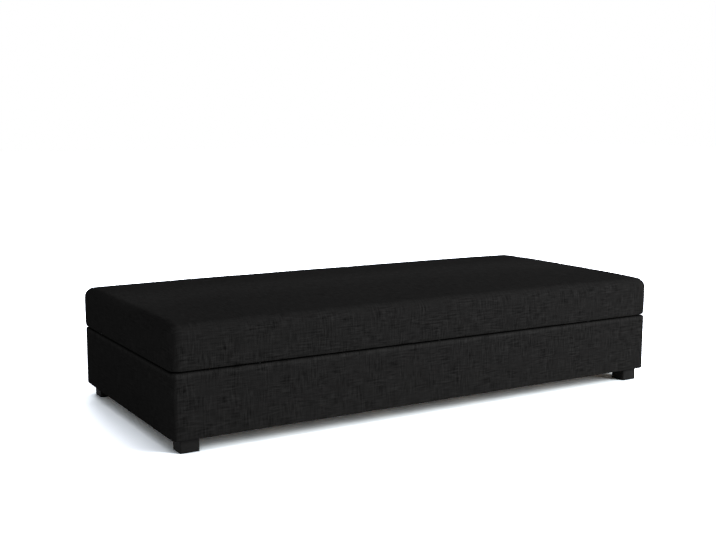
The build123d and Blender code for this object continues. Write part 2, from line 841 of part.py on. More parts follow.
with BuildPart() as strut_lid_screws:
    for places in strut_lid_places.values():
        with Locations(*places):
            add(bracket_screw)
save(strut_lid_screws, "strut_lid_screws")
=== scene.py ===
"""The looks of a single box spring bed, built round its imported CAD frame.

The lower part is an upholstered storage box on four block feet, and the upper part is a sprung,
upholstered top section that is hinged along the rear long side. All sizes are in metres.
"""

import logging
import math
from contextlib import contextmanager
from dataclasses import dataclass, field
from enum import Enum
from typing import Any, Callable, Iterator, Sequence

import bmesh
import bpy
from mathutils import Matrix, Quaternion, Vector, noise


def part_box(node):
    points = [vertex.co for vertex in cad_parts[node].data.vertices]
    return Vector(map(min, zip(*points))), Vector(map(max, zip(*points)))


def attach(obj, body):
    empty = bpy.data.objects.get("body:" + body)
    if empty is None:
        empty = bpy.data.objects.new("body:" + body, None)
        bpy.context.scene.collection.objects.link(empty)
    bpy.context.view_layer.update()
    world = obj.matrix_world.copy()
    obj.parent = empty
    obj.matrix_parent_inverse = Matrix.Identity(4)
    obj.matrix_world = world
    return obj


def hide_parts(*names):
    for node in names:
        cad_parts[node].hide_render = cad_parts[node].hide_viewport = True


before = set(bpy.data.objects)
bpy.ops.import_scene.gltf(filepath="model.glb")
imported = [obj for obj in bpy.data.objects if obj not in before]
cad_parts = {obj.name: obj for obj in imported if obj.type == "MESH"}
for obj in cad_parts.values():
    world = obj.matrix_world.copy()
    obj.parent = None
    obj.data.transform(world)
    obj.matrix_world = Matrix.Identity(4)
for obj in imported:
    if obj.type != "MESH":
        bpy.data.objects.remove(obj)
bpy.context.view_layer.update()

LOG = logging.getLogger("bed")
MM = 0.001
Colour = tuple[float, float, float]
Point = tuple[float, float, float]
Piece = bpy.types.Object
Socket = bpy.types.NodeSocket
Settings = dict[Any, Any] | None
Test = Callable[[Any], bool]


class Body(Enum):
    """The CAD bodies that pieces ride on."""

    BASE = "base"
    TOP = "top_section"


class Slot(Enum):
    """The names of the record's material slots."""

    WEAVE = "black_weave"
    MOULDING = "black_moulding"
    FOAM = "pale_foam"
    FELT = "grey_felt"
    STEEL = "zinc_steel"


class Part(Enum):
    """The kinds of mesh element that edit mode can pick."""

    EDGE = "EDGE"
    FACE = "FACE"


class Grain(Enum):
    """The axis that a piece of timber's grain runs along."""

    X = 0
    Y = 1
    Z = 2


class Side(Enum):
    """The two ends of the bed."""

    LEFT = "left"
    RIGHT = "right"


def set_all(target: Any, **settings: Any) -> None:
    """Sets properties by their names."""
    for name, setting in settings.items():
        setattr(target, name, setting)


# Shader graphs


class Value:
    """A number in a shader graph. Python's operators on it add Math nodes."""

    EASED = {"interpolation_type": "SMOOTHSTEP", "clamp": True}

    def __init__(self, graph: "Graph", socket: Socket) -> None:
        """Wraps an output socket of a graph."""
        self.graph = graph
        self.socket = socket

    def _math(self, operation: str, *numbers: "Value | float") -> "Value":
        """Adds one Math node and gives its result."""
        return self.graph.number("ShaderNodeMath", {"operation": operation}, dict(enumerate(numbers)))

    def __add__(self, other: "Value | float") -> "Value":
        """Adds two numbers."""
        return self._math("ADD", self, other)

    __radd__ = __add__

    def __sub__(self, other: "Value | float") -> "Value":
        """Takes the second number from the first."""
        return self._math("SUBTRACT", self, other)

    def __rsub__(self, other: float) -> "Value":
        """Takes this number from a plain one."""
        return self._math("SUBTRACT", other, self)

    def __mul__(self, other: "Value | float") -> "Value":
        """Multiplies two numbers."""
        return self._math("MULTIPLY", self, other)

    __rmul__ = __mul__

    def sine(self) -> "Value":
        """Gives the number's sine."""
        return self._math("SINE", self)

    def at_least(self, floor: float) -> "Value":
        """Gives the larger of the number and a floor."""
        return self._math("MAXIMUM", self, floor)

    def at_most(self, ceiling: float) -> "Value":
        """Gives the smaller of the number and a ceiling."""
        return self._math("MINIMUM", self, ceiling)

    def above(self, start: float, end: float) -> "Value":
        """Rises smoothly from 0 at start to 1 at end."""
        inputs = {"Value": self, "From Min": start, "From Max": end}
        return self.graph.number("ShaderNodeMapRange", self.EASED, inputs, "Result")


class Graph:
    """The node graph of one material. A noise stays near 0.5, so SPREAD widens it."""

    SPREAD = 3.0

    def __init__(self, material: bpy.types.Material) -> None:
        """Empties a material's graph and gives it an output.

        Args:
            material: The material, or world, whose nodes are built.
        """
        material.use_nodes = True
        self.tree = material.node_tree
        self.tree.nodes.clear()
        world = isinstance(material, bpy.types.World)
        self.output = self.node("ShaderNodeOutputWorld" if world else "ShaderNodeOutputMaterial")

    def node(self, kind: str, settings: Settings = None, inputs: Settings = None) -> bpy.types.Node:
        """Adds a node.

        Args:
            kind: The node's type.
            settings: Its properties, which are set first.
            inputs: Values, sockets or Value objects by input name or number.

        Returns:
            The node.
        """
        made = self.tree.nodes.new(kind)
        set_all(made, **(settings or {}))
        for key, given in (inputs or {}).items():
            given = given.socket if isinstance(given, Value) else given
            if isinstance(given, Socket):
                self.tree.links.new(given, made.inputs[key])
            else:
                made.inputs[key].default_value = given
        return made

    def number(
        self, kind: str, settings: Settings = None, inputs: Settings = None, output: int | str = 0
    ) -> Value:
        """Adds a node and gives one of its outputs as a number."""
        return Value(self, self.node(kind, settings, inputs).outputs[output])

    def object_place(self) -> Socket:
        """Gives the place on the object, in metres."""
        return self.node("ShaderNodeTexCoord").outputs["Object"]

    def cloth_place(self) -> Socket:
        """Gives the place on the cloth, in metres along weft and warp."""
        return self.node("ShaderNodeUVMap", {"uv_map": ClothShell.LAY}).outputs["UV"]

    def attribute(self, name: str) -> Value:
        """Gives a number that is written on the mesh, and 0 where the mesh has none."""
        return self.number("ShaderNodeAttribute", {"attribute_name": name}, None, "Fac")

    def noise(self, place: Socket, sizes: Sequence[float], detail: float, seed: float) -> Value:
        """Adds a smooth random pattern.

        Args:
            place: Where the pattern is read.
            sizes: The size of its blobs along each axis, in metres.
            detail: How many finer layers it has.
            seed: Which of many patterns it is.

        Returns:
            A number about 0, mostly from -1 to 1.
        """
        steps = [1 / size for size in (*sizes, 1.0)[:3]]
        scaled = self.node("ShaderNodeVectorMath", {"operation": "MULTIPLY"}, {0: place, 1: steps})
        inputs = {"Vector": scaled.outputs[0], "W": seed, "Scale": 1.0, "Detail": detail}
        made = self.number("ShaderNodeTexNoise", {"noise_dimensions": "4D"}, inputs)
        return (made - 0.5) * self.SPREAD

    def axis(self, place: Socket, number: int) -> Value:
        """Gives a place along one axis, 0 to 2."""
        return self.number("ShaderNodeSeparateXYZ", None, {0: place}, number)

    def tint(self, colour: Any, tone: Value) -> Socket:
        """Multiplies a colour by a tone."""
        inputs = {0: colour, "Scale": tone}
        return self.node("ShaderNodeVectorMath", {"operation": "SCALE"}, inputs).outputs[0]

    def blend(self, share: Value, first: Any, second: Any) -> Socket:
        """Mixes two colours or sockets: all of the first at a share of 0, and of the second at 1."""
        first, second = ((*c, 1.0) if isinstance(c, tuple) else c for c in (first, second))
        inputs = {0: share, 6: first, 7: second}
        return self.node("ShaderNodeMix", {"data_type": "RGBA"}, inputs).outputs[2]

    def bump(self, height: Value, depth: float) -> Socket:
        """Turns a height of about 0 to 1, which stands for a depth in metres, into a normal."""
        return self.node("ShaderNodeBump", None, {"Distance": depth, "Height": height}).outputs[0]

    def show(self, shader: bpy.types.Node) -> None:
        """Joins a shader to the output."""
        self.tree.links.new(shader.outputs[0], self.output.inputs["Surface"])

    def finish(self, colour: Any, roughness: Value, normal: Any, fixed: dict[str, Any]) -> None:
        """Shows a surface: what varies over it, and its fixed values by socket name."""
        varied = {"Base Color": colour, "Roughness": roughness, "Normal": normal}
        self.show(self.node("ShaderNodeBsdfPrincipled", None, {**fixed, **varied}))


# Finishes

Look = tuple[Socket, Value, Value]


@dataclass(frozen=True)
class Finish:
    """A finish that makes its material once."""

    name: str
    colour: Colour
    roughness: float
    depth: float = 0.1 * MM
    gloss: float = 0.3

    def look(self, graph: Graph) -> Look:
        """Gives the colour, roughness and height over the surface."""
        raise NotImplementedError

    def fixed(self) -> dict[str, float]:
        """Gives the shader's values that are the same all over."""
        return {"Specular IOR Level": self.gloss}

    def material(self) -> bpy.types.Material:
        """Gives the finish's material, and makes it at the first call."""
        found = bpy.data.materials.get(self.name)
        if found is None:
            found = bpy.data.materials.new(self.name)
            graph = Graph(found)
            colour, roughness, height = self.look(graph)
            graph.finish(colour, roughness, graph.bump(height, self.depth), self.fixed())
        return found

    def dress(self, piece: Piece) -> None:
        """Puts the material in every slot of a piece.

        Args:
            piece: A new piece or a CAD node's object.
        """
        if not piece.material_slots:
            piece.data.materials.append(None)
        for holder in piece.material_slots:
            holder.material = self.material()


@dataclass(frozen=True)
class WovenCloth(Finish):
    """Slub weave: uneven yarns that run both ways and show as short streaks."""

    slub_width: float = 5.4 * MM
    slub_length: float = 45 * MM
    patch_width: float = 60 * MM
    patch_length: float = 84 * MM
    patch_edges: tuple[float, float] = (-0.5, 0.6)
    least_slubs: float = 0.3
    mottle_sizes: tuple[float, float] = (90 * MM, 70 * MM)
    mottling: float = 0.06
    yarn_pitch: float = 1.6 * MM
    yarn_tone: float = 0.08
    contrast: float = 0.72
    flattening: float = 0.45
    # The painted sheen's strength, and how much it is streaked along the warp.
    sheen_gain: float = 0.35
    sheen_streaks: float = 0.8
    darkest: float = 0.3
    slub_height: float = 0.35
    yarn_height: float = 0.2
    depth: float = 0.6 * MM
    gloss: float = 0.0

    def look(self, graph: Graph) -> Look:
        """Gives the colour, roughness and height over the surface."""
        place = graph.cloth_place()
        slub = (self.slub_width, self.slub_length)
        patch = (self.patch_width, self.patch_length)
        warp = graph.noise(place, slub, 3.0, 1.0)
        weft = graph.noise(place, slub[::-1], 3.0, 2.0)
        warp_share = self.least_slubs + graph.noise(place, patch, 1.0, 3.0).above(*self.patch_edges)
        weft_share = self.least_slubs + graph.noise(place, patch[::-1], 1.0, 4.0).above(*self.patch_edges)
        streaks = warp * warp_share + weft * weft_share
        mottle = graph.noise(place, self.mottle_sizes, 2.0, 5.0)
        turn = 2 * math.pi / self.yarn_pitch
        yarns = (graph.axis(place, 0) * turn).sine() * (graph.axis(place, 1) * turn).sine()
        # Painted sheen: the weave is lightened where the mesh marks it, in streaks along the warp.
        sheen_lift = graph.attribute(ClothShell.SHEEN_MARK) * (1.0 + self.sheen_streaks * warp)
        slubs = (1.0 - self.flattening * graph.attribute(ClothShell.SMOOTH)) * streaks
        tone = 1.0 + self.contrast * slubs + self.mottling * mottle + self.yarn_tone * yarns
        colour = graph.tint(self.colour, (tone + self.sheen_gain * sheen_lift).at_least(self.darkest))
        height = self.slub_height * slubs + self.yarn_height * yarns
        return colour, self.roughness - 0.05 * streaks, height


@dataclass(frozen=True)
class Timber(Finish):
    """Planed softwood. Its patterns have a size across and a size along the grain."""

    grain: Grain = Grain.X
    ring: tuple[float, float] = (7 * MM, 900 * MM)
    fibre: tuple[float, float] = (0.7 * MM, 120 * MM)
    cloud: tuple[float, float] = (110 * MM, 1600 * MM)
    ring_turns: float = 9.0
    late_wood: Colour = (0.72, 0.6, 0.5)
    depth: float = 0.12 * MM
    gloss: float = 0.35

    def pattern(self, graph: Graph, size: tuple[float, float], detail: float, seed: float) -> Value:
        """Adds a random pattern that is drawn out along the grain."""
        sizes = [size[1] if axis == self.grain.value else size[0] for axis in range(3)]
        return graph.noise(graph.object_place(), sizes, detail, seed)

    def look(self, graph: Graph) -> Look:
        """Gives the colour, roughness and height over the surface."""
        bands = (self.pattern(graph, self.ring, 1.0, 1.0) * self.ring_turns).sine()
        fibres = self.pattern(graph, self.fibre, 2.0, 2.0)
        clouds = self.pattern(graph, self.cloud, 1.0, 3.0)
        dark = tuple(c * k for c, k in zip(self.colour, self.late_wood))
        share = (0.42 + 0.3 * bands + 0.14 * fibres + 0.2 * clouds).at_least(0.0).at_most(1.0)
        colour = graph.blend(share, self.colour, dark)
        return colour, self.roughness + 0.06 * bands, 0.4 * fibres + 0.2 * bands


@dataclass(frozen=True)
class Pattern:
    """A random pattern, with how much it changes a surface's tone, roughness and height."""

    sizes: Sequence[float]
    detail: float
    seed: float
    tone: float = 0.0
    roughness: float = 0.0
    height: float = 0.0


@dataclass(frozen=True)
class Speckled(Finish):
    """A plain surface whose small changes are a sum of random patterns."""

    def patterns(self) -> Sequence[Pattern]:
        """Gives the patterns."""
        raise NotImplementedError

    def look(self, graph: Graph) -> Look:
        """Gives the colour, roughness and height over the surface."""
        place = graph.object_place()
        values = [(p, graph.noise(place, p.sizes, p.detail, p.seed)) for p in self.patterns()]
        tone = 1.0 + sum(p.tone * value for p, value in values if p.tone)
        roughness = self.roughness + sum(p.roughness * value for p, value in values if p.roughness)
        height = sum(p.height * value for p, value in values if p.height)
        return graph.tint(self.colour, tone), roughness, height


@dataclass(frozen=True)
class Board(Speckled):
    """Pressed fibre board: a smooth face with fine flecks and faint clouds."""

    fleck: Point = (1.2 * MM, 3 * MM, 1.2 * MM)
    cloud: Point = (120 * MM, 90 * MM, 100 * MM)
    depth: float = 0.08 * MM
    gloss: float = 0.3

    def patterns(self) -> Sequence[Pattern]:
        """Gives the patterns."""
        flecks = Pattern(self.fleck, 3.0, 1.0, tone=0.16, roughness=-0.08, height=0.5)
        return flecks, Pattern(self.cloud, 2.0, 2.0, tone=0.07)


@dataclass(frozen=True)
class Moulding(Speckled):
    """Moulded plastic or rubber with a fine pebbled face and rubbed patches."""

    pebble: float = 0.9 * MM
    rub_and_sheen: Point = (18 * MM, 18 * MM, 9 * MM)
    depth: float = 0.12 * MM
    gloss: float = 0.06

    def patterns(self) -> Sequence[Pattern]:
        """Gives the patterns."""
        pebbles = Pattern((self.pebble,) * 3, 2.0, 1.0, tone=0.06, height=0.5)
        return pebbles, Pattern(self.rub_and_sheen, 3.0, 2.0, tone=0.12, roughness=-0.07)


@dataclass(frozen=True)
class Metal(Speckled):
    """Plated, drawn or enamelled metal, faintly clouded and scratched."""

    metallic: float = 1.0
    coat: float = 0.0
    mottle: float = 0.1
    speck: float = 5 * MM
    scratch: Point = (30 * MM, 0.5 * MM, 0.5 * MM)
    depth: float = 0.03 * MM
    coat_roughness: float = 0.25

    def patterns(self) -> Sequence[Pattern]:
        """Gives the patterns."""
        clouds = Pattern((self.speck,) * 3, 3.0, 1.0, tone=self.mottle, roughness=0.05, height=0.2)
        return clouds, Pattern(self.scratch, 2.0, 2.0, roughness=0.03, height=0.3)

    def fixed(self) -> dict[str, float]:
        """Gives the shader's values that are the same all over."""
        return {"Metallic": self.metallic, "Coat Weight": self.coat, "Coat Roughness": self.coat_roughness}


@dataclass(frozen=True)
class Fibre(Finish):
    """Felt or foam: a soft face of fibres or small cells."""

    cell: float = 1.5 * MM
    flecks: float = 0.2
    depth: float = 0.4 * MM
    gloss: float = 0.15

    def look(self, graph: Graph) -> Look:
        """Gives the colour, roughness and height over the surface."""
        place = graph.object_place()
        inputs = {"Vector": place, "Scale": 1 / self.cell}
        pores = graph.number("ShaderNodeTexVoronoi", None, inputs, "Distance")
        specks = graph.noise(place, (2 * self.cell, 3 * self.cell, 2 * self.cell), 3.0, 1.0)
        colour = graph.tint(self.colour, 0.95 + self.flecks * specks + 0.1 * pores)
        return colour, self.roughness + 0.05 * specks, pores


BLACK_WEAVE = WovenCloth("black_slub_weave", (0.0169, 0.0167, 0.0166), 0.93)
PINE_TONE = (0.52, 0.38, 0.24)
PINE_X = Timber("pine_along_x", PINE_TONE, 0.62, grain=Grain.X)
PINE_Y = Timber("pine_along_y", PINE_TONE, 0.62, grain=Grain.Y)
PINE_Z = Timber("pine_upright", PINE_TONE, 0.62, grain=Grain.Z)
HARDBOARD = Board("brown_hardboard", (0.2, 0.135, 0.085), 0.7)
BLACK_PLASTIC = Moulding("black_moulded_plastic", (0.0138, 0.0134, 0.0131), 0.8)
POWDER_COAT = Moulding("black_powder_coat", (0.012, 0.012, 0.012), 0.85, pebble=0.5 * MM)
BLACK_RUBBER = Moulding("black_rubber", (0.009, 0.009, 0.009), 0.9, pebble=1.6 * MM)
ZINC = Metal("dull_zinc", (0.36, 0.37, 0.385), 0.48)
BLACK_ZINC = Metal("black_zinc", (0.03, 0.03, 0.032), 0.5)
SPRING_WIRE = Metal("drawn_spring_wire", (0.4, 0.42, 0.44), 0.42)
CHROME = Metal("chromed_rod", (0.8, 0.8, 0.82), 0.1, mottle=0.03)
BLACK_ENAMEL = Metal(
    "black_enamel", (0.03, 0.03, 0.03), 0.42, metallic=0.0, coat=0.3, mottle=0.06, speck=12 * MM
)
GREY_FELT = Fibre("grey_felt", (0.3, 0.3, 0.31), 0.95, cell=0.9 * MM, flecks=0.3)
PALE_FOAM = Fibre("pale_foam", (0.8, 0.76, 0.62), 0.9, cell=2.2 * MM, flecks=0.05)


# Modelling by operators


def deselect_all() -> None:
    """Leaves edit mode and clears the selection."""
    if bpy.context.object and bpy.context.object.mode != "OBJECT":
        bpy.ops.object.mode_set(mode="OBJECT")
    bpy.ops.object.select_all(action="DESELECT")


def activate(piece: Piece) -> None:
    """Makes a piece the only selected object and the active one."""
    deselect_all()
    bpy.context.view_layer.objects.active = piece
    piece.select_set(True)


@contextmanager
def editing(piece: Piece) -> Iterator[None]:
    """Opens a piece in edit mode for the lines inside."""
    activate(piece)
    bpy.ops.object.mode_set(mode="EDIT")
    yield
    bpy.ops.object.mode_set(mode="OBJECT")


def pick(part: Part, test: Test) -> None:
    """Selects, in edit mode, only the elements that pass a test.

    Args:
        part: Whether edges or faces are tested.
        test: Says whether one of them is picked.
    """
    bpy.ops.mesh.select_mode(type=part.value)
    bpy.ops.mesh.select_all(action="DESELECT")
    mesh = bmesh.from_edit_mesh(bpy.context.object.data)
    for element in mesh.edges if part is Part.EDGE else mesh.faces:
        if test(element):
            element.select_set(True)
    mesh.select_flush_mode()
    bmesh.update_edit_mesh(bpy.context.object.data)


def upright(edge: Any, lean: float = 0.1) -> bool:
    """Says whether an edge runs straight up, within a small lean."""
    low, high = (v.co for v in edge.verts)
    return (high - low).xy.length < lean * abs(high.z - low.z)


def is_wall(face: Any, slope: float = 0.5) -> bool:
    """Says whether a face stands rather than lies."""
    return abs(face.normal.z) < slope


def at_level(z: float, slack: float = 0.1 * MM) -> Test:
    """Gives a test for elements whose points all lie at a level, within a slack."""
    return lambda element: all(abs(v.co.z - z) < slack for v in element.verts)


def rename(piece: Piece, name: str) -> None:
    """Names a piece and its mesh."""
    piece.name = name
    piece.data.name = name


def copied(piece: Piece) -> Piece:
    """Adds a copy of a piece with a mesh of its own.

    Args:
        piece: The piece.

    Returns:
        The copy.
    """
    copy = piece.copy()
    copy.data = piece.data.copy()
    bpy.context.scene.collection.objects.link(copy)
    return copy


def add_block(name: str, low: Sequence[float], high: Sequence[float]) -> Piece:
    """Adds a block between two corners, as the start of a piece.

    Args:
        name: The piece's name.
        low: The lowest corner.
        high: The highest corner.

    Returns:
        The block, with its place in its mesh.
    """
    deselect_all()
    middle = [(a + b) / 2 for a, b in zip(low, high)]
    size = [b - a for a, b in zip(low, high)]
    bpy.ops.mesh.primitive_cube_add(size=1, location=middle, scale=size)
    block = bpy.context.object
    rename(block, name)
    bpy.ops.object.transform_apply(location=True, rotation=True, scale=True)
    return block


def round_edges(test: Test, radius: float, segments: int) -> None:
    """Bevels, in edit mode, the edges that pass a test."""
    pick(Part.EDGE, test)
    bpy.ops.mesh.bevel(offset=radius, segments=segments, profile=0.5, affect="EDGES")


def slice_mesh(axis: int, start: float, end: float, step: float) -> None:
    """Cuts the edited mesh by evenly spaced planes across one axis.

    Args:
        axis: The axis, 0 to 2, that the planes stand across.
        start: The first plane's place.
        end: The last plane's place.
        step: The largest spacing.
    """
    count = max(1, math.ceil((end - start) / step))
    normal = [float(i == axis) for i in range(3)]
    for i in range(count + 1):
        place = [0.0, 0.0, 0.0]
        place[axis] = start + (end - start) * i / count
        bpy.ops.mesh.select_all(action="SELECT")
        bpy.ops.mesh.bisect(plane_co=place, plane_no=normal)


def slice_flat(low: Sequence[float], high: Sequence[float], inset: float, cells: Sequence[float]) -> None:
    """Divides the edited mesh into cells along X and Y, all but an inset at its ends."""
    for axis, cell in enumerate(cells):
        slice_mesh(axis, low[axis] + inset, high[axis] - inset, cell)


def apply_modifier(piece: Piece, kind: str, **settings: Any) -> None:
    """Adds a modifier to a piece and applies it.

    Args:
        piece: The piece.
        kind: The modifier's type.
        settings: Its properties.
    """
    activate(piece)
    modifier = piece.modifiers.new(kind.lower(), kind)
    set_all(modifier, **settings)
    bpy.ops.object.modifier_apply(modifier=modifier.name)


def smooth(piece: Piece, angle: float = 40.0) -> None:
    """Shades a piece smooth, apart from edges sharper than an angle in degrees."""
    activate(piece)
    bpy.ops.object.shade_smooth_by_angle(angle=math.radians(angle))


def join(pieces: Sequence[Piece], name: str) -> Piece:
    """Joins pieces into one.

    Args:
        pieces: The pieces.
        name: The joined piece's name.

    Returns:
        The joined piece.
    """
    activate(pieces[0])
    for piece in pieces:
        piece.select_set(True)
    bpy.ops.object.join()
    joined = bpy.context.object
    rename(joined, name)
    return joined


def settle(piece: Piece, finish: Finish, body: Body, nodes: Sequence[str] = ()) -> None:
    """Dresses a finished piece, ties it to its body, and hides the CAD nodes that it stands for.

    Args:
        piece: The piece.
        finish: Its finish.
        body: The body that it rides on.
        nodes: The CAD nodes that it stands for.
    """
    finish.dress(piece)
    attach(piece, body.value)
    if nodes:
        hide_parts(*nodes)
    LOG.info("%s: %d faces", piece.name, len(piece.data.polygons))


# Cloth


@dataclass
class ClothShell:
    """A cloth cover round a block, open on one side or both, with turned-in hems."""

    name: str
    low: Sequence[float]
    high: Sequence[float]
    corner_radius: float
    hem: float
    hem_radius: float
    thickness: float = 4 * MM
    cell: float = 30 * MM
    corner_steps: int = 8
    hem_steps: int = 3
    fold_gap: float = 0.2 * MM
    end_slope: float = 0.6
    end_shift: float = 5.0
    frames: int = 20
    smooth_angle: float = 50.0
    LAY = "cloth_lay"
    # The mark of painted sheen: a painted highlight that lightens the weave's colour where it is written.
    SHEEN_MARK = "painted_sheen"
    SMOOTH = "lies_smooth"

    def __post_init__(self) -> None:
        """Makes the block with rounded upright corners."""
        self.piece = add_block(self.name, self.low, self.high)
        with editing(self.piece):
            round_edges(upright, self.corner_radius, self.corner_steps)

    def turn_in(self, level: float) -> None:
        """Opens the face at a level, and leaves a hem of it that is folded in.

        A hem wider than the corner's radius ends in a sharp inner corner, as a folded one does.

        Args:
            level: The height of the face.
        """
        pick(Part.FACE, at_level(level))
        as_arc = min(self.hem, self.corner_radius - self.fold_gap)
        bpy.ops.mesh.inset(thickness=as_arc, use_boundary=True)
        if self.hem > as_arc:
            bpy.ops.mesh.remove_doubles(threshold=2 * self.fold_gap)
            bpy.ops.mesh.inset(thickness=self.hem - as_arc, use_boundary=True)
        bpy.ops.mesh.delete(type="FACE")
        outer_x, outer_y = self.high[0] - self.hem / 2, self.high[1] - self.hem / 2
        in_level = at_level(level)

        def on_outline(edge: Any) -> bool:
            """Says whether an edge is on the outer outline and not on the hem's inner edge."""
            middle = (edge.verts[0].co + edge.verts[1].co) / 2
            outside = abs(middle.x) > outer_x or abs(middle.y) > outer_y
            corner = len(edge.link_faces) == 2 and any(is_wall(face) for face in edge.link_faces)
            return in_level(edge) and outside and corner

        round_edges(on_outline, self.hem_radius, self.hem_steps)

    def slice_all(self, start: float, end: float) -> None:
        """Divides the shell into cells that can bend, with its walls from a start to an end height."""
        slice_flat(self.low, self.high, self.corner_radius, (self.cell, self.cell))
        slice_mesh(2, start, end, self.cell)

    def lay(self) -> None:
        """Writes the cloth's own coordinates, in metres along weft and warp, before it is bent."""
        mesh = self.piece.data
        layer = mesh.uv_layers.new(name=self.LAY)
        for face in mesh.polygons:
            normal = face.normal
            at_end = abs(normal.x) > max(abs(normal.y), self.end_slope * abs(normal.z))
            for loop in face.loop_indices:
                x, y, z = mesh.vertices[mesh.loops[loop].vertex_index].co
                if at_end:
                    layer.data[loop].uv = (y + self.end_shift, z + self.high[0] - abs(x))
                elif y < 0:
                    layer.data[loop].uv = (x, z + y - self.low[1])
                else:
                    layer.data[loop].uv = (x, 2 * self.high[2] - z + y - self.low[1])

    def at_end(self, place: Vector) -> float:
        """Says how far a point is on an end face, from 0 at its corners to 1."""
        return eased(abs(place.x), self.high[0] - self.corner_radius, self.high[0] - self.hem_radius)

    def mark(self, name: str, amount: Callable[[Vector], float]) -> None:
        """Writes a number, 0 to 1, on every point of the cloth, for the weave: the painted sheen's share,
        or SMOOTH.
        """
        marks = self.piece.data.attributes.new(name, "FLOAT", "POINT").data
        marks.foreach_set("value", [amount(vertex.co) for vertex in self.piece.data.vertices])

    def inflate(self, held_below: float, reach: float) -> None:
        """Swells the cloth by a simulation, and limits how far it moves.

        Args:
            held_below: The height up to which the cloth is held by the timber.
            reach: The furthest that a point may move.
        """
        shell, vertices = self.piece, self.piece.data.vertices
        held = shell.vertex_groups.new(name="held")
        held.add([v.index for v in vertices if v.co.z < held_below], 1.0, "REPLACE")
        before = [v.co.copy() for v in vertices]
        activate(shell)
        modifier = shell.modifiers.new("padding", "CLOTH")
        set_all(
            modifier.settings,
            quality=6,
            mass=0.4,
            tension_stiffness=40,
            compression_stiffness=40,
            bending_stiffness=5,
            use_pressure=True,
            uniform_pressure_force=4,
            vertex_group_mass=held.name,
        )
        modifier.settings.effector_weights.gravity = 0
        modifier.collision_settings.use_collision = False
        set_all(modifier.point_cache, frame_start=1, frame_end=self.frames)
        for number in range(1, self.frames + 1):
            bpy.context.scene.frame_set(number)
        bpy.ops.object.modifier_apply(modifier=modifier.name)
        bpy.context.scene.frame_set(1)
        moves = [v.co - old for v, old in zip(shell.data.vertices, before)]
        furthest = max(move.length for move in moves)
        share = min(1.0, reach / furthest)
        LOG.info("%s: swelled by %.1f mm, kept to %.1f mm", self.name, furthest / MM, reach / MM)
        for vertex, old, move in zip(shell.data.vertices, before, moves):
            vertex.co = old + move * share
        shell.vertex_groups.clear()

    def finish(self, move: Callable[[Vector], Vector]) -> None:
        """Moves each point, and gives the cloth and its wadding their thickness, inwards.

        Args:
            move: Gives a point's move for its place.
        """
        for vertex in self.piece.data.vertices:
            vertex.co += move(vertex.co)
        apply_modifier(self.piece, "SUBSURF", levels=1, render_levels=1)
        walls = {"thickness": self.thickness, "offset": -1, "use_even_offset": True}
        apply_modifier(self.piece, "SOLIDIFY", **walls)
        smooth(self.piece, self.smooth_angle)


def eased(distance: float, start: float, end: float) -> float:
    """Rises smoothly from 0 at start to 1 at end."""
    share = min(1.0, max(0.0, (distance - start) / (end - start)))
    return share * share * (3 - 2 * share)


@dataclass(frozen=True)
class Ripple:
    """A smooth random unevenness, one of many patterns by its seed."""

    depth: float
    pitch: float
    seed: float

    def at(self, place: Vector) -> float:
        """Gives the unevenness at a place, about -depth to depth."""
        shift = Vector((self.seed, 2 * self.seed, 3 * self.seed))
        return self.depth * noise.noise(Vector(place) / self.pitch + shift)


# The bed's sub-assemblies


